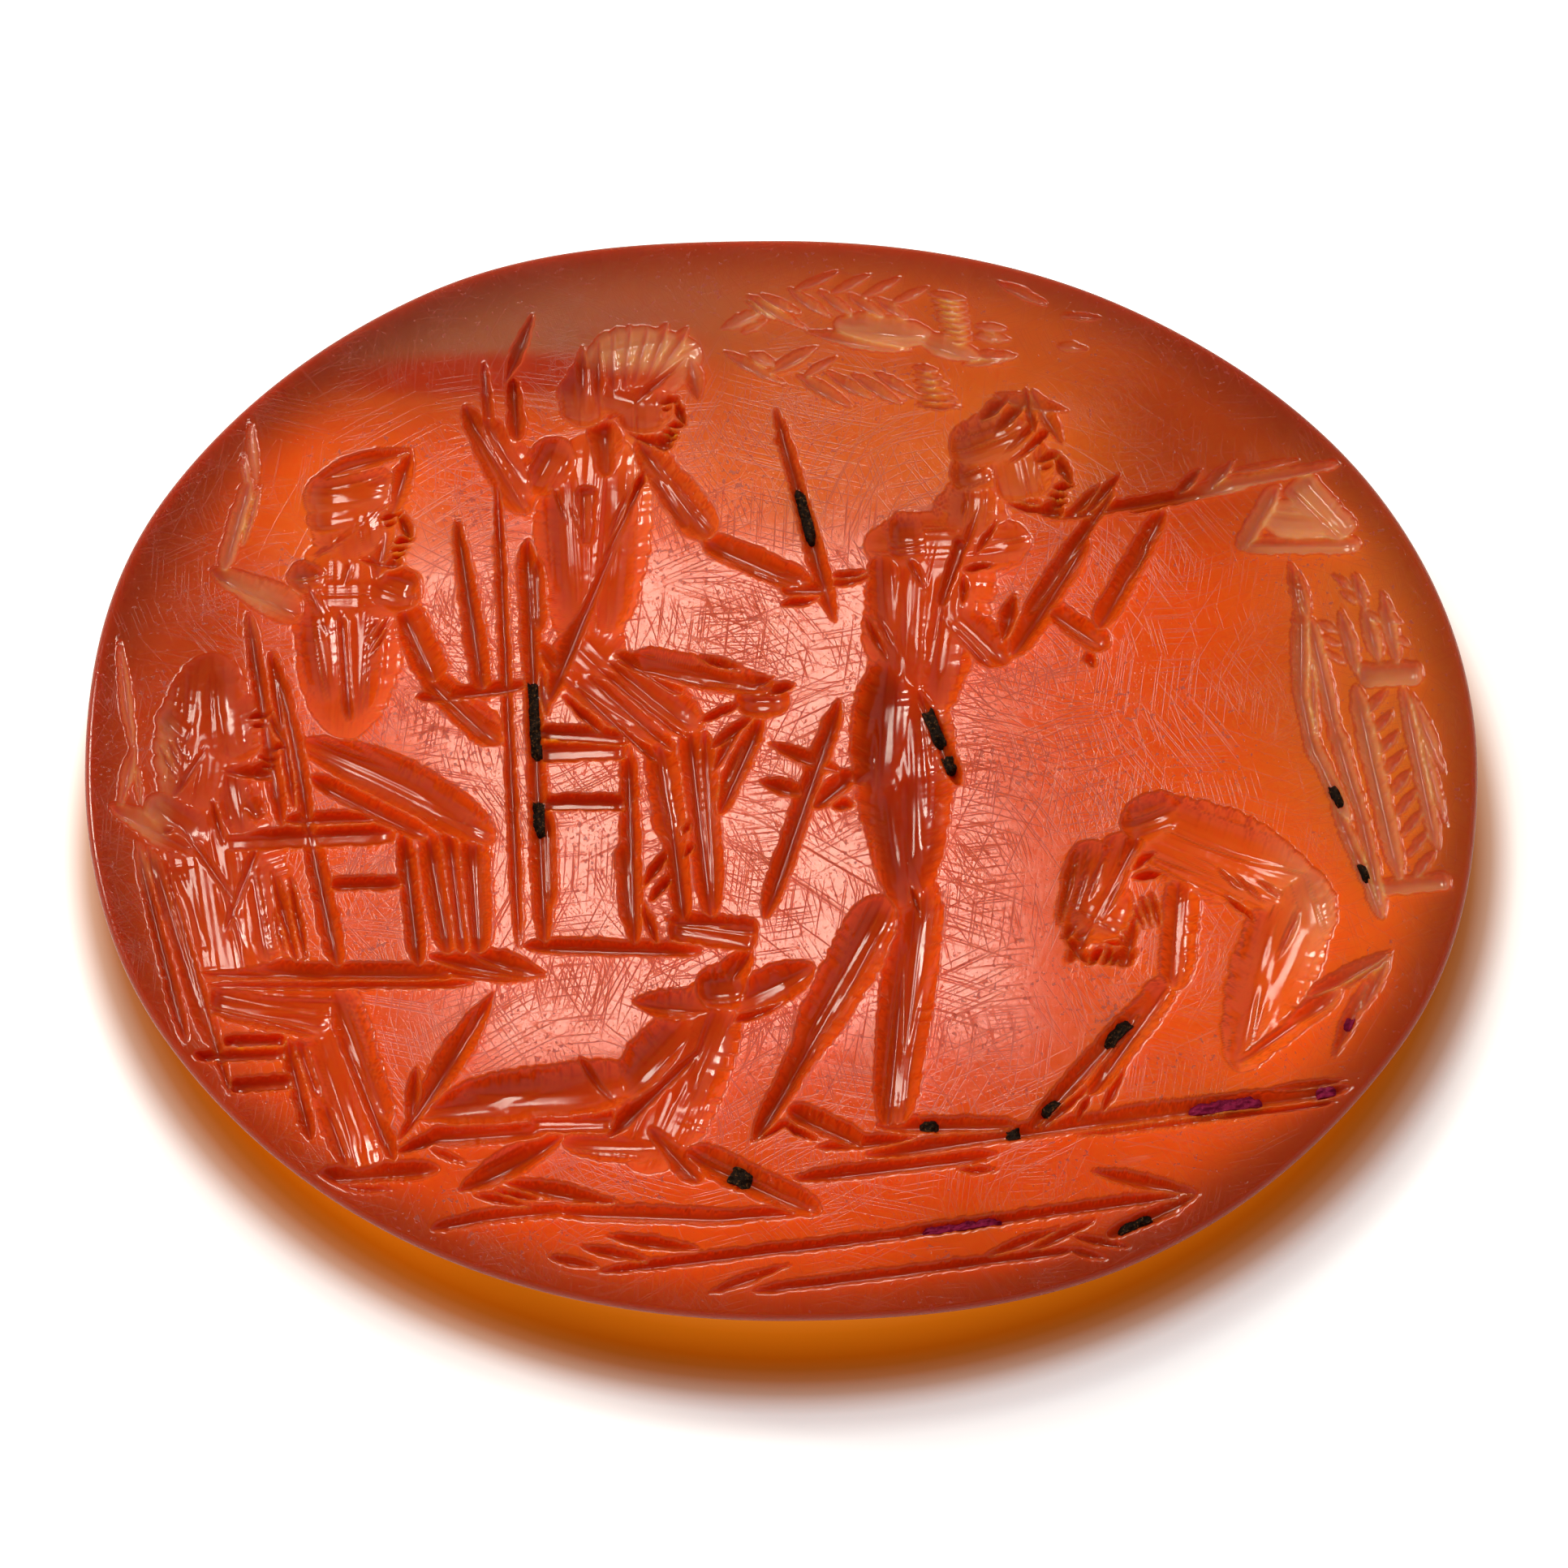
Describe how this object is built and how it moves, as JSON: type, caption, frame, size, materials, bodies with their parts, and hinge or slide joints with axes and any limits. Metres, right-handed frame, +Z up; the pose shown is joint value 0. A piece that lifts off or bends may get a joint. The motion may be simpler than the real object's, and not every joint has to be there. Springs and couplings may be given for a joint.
{
  "type": "engraved gemstone",
  "caption": "Oval ringstone of red-orange carnelian with a domed face carrying a wheel-cut figure scene in intaglio and a flat back.",
  "frame": {"origin": "middle of the flat back, under the middle of the oval's box", "axes": "+X along the stone's length towards the right of the scene, +Y across it towards the top of the scene, +Z up out of the engraved face"},
  "size_m": [0.019, 0.0156, 0.0036],
  "materials": {
    "carnelian": "polished translucent chalcedony, dense hairline scratches, cuts matt to satin",
    "black_residue": "dull black-brown old dirt and wax lodged in the cuts",
    "purple_residue": "purple sealing wax remains lodged in the cuts"
  },
  "bodies": {
    "root": {"gemstone": "carnelian", "black_residue_lance": "black_residue", "black_residue_throne_post_upper": "black_residue", "black_residue_throne_post_lower": "black_residue", "black_residue_belt_upper": "black_residue", "black_residue_belt_lower": "black_residue", "black_residue_bow_grip": "black_residue", "black_residue_bow_tip": "black_residue", "black_residue_forearm_upper": "black_residue", "black_residue_forearm_lower": "black_residue", "black_residue_ground_left": "black_residue", "black_residue_ground_middle": "black_residue", "black_residue_foreleg": "black_residue", "black_residue_arrow_barb": "black_residue", "purple_residue_ground": "purple_residue", "purple_residue_ground_tip": "purple_residue", "purple_residue_arrow_shaft": "purple_residue", "purple_residue_rear_foot": "purple_residue"}
  },
  "joints": []
}
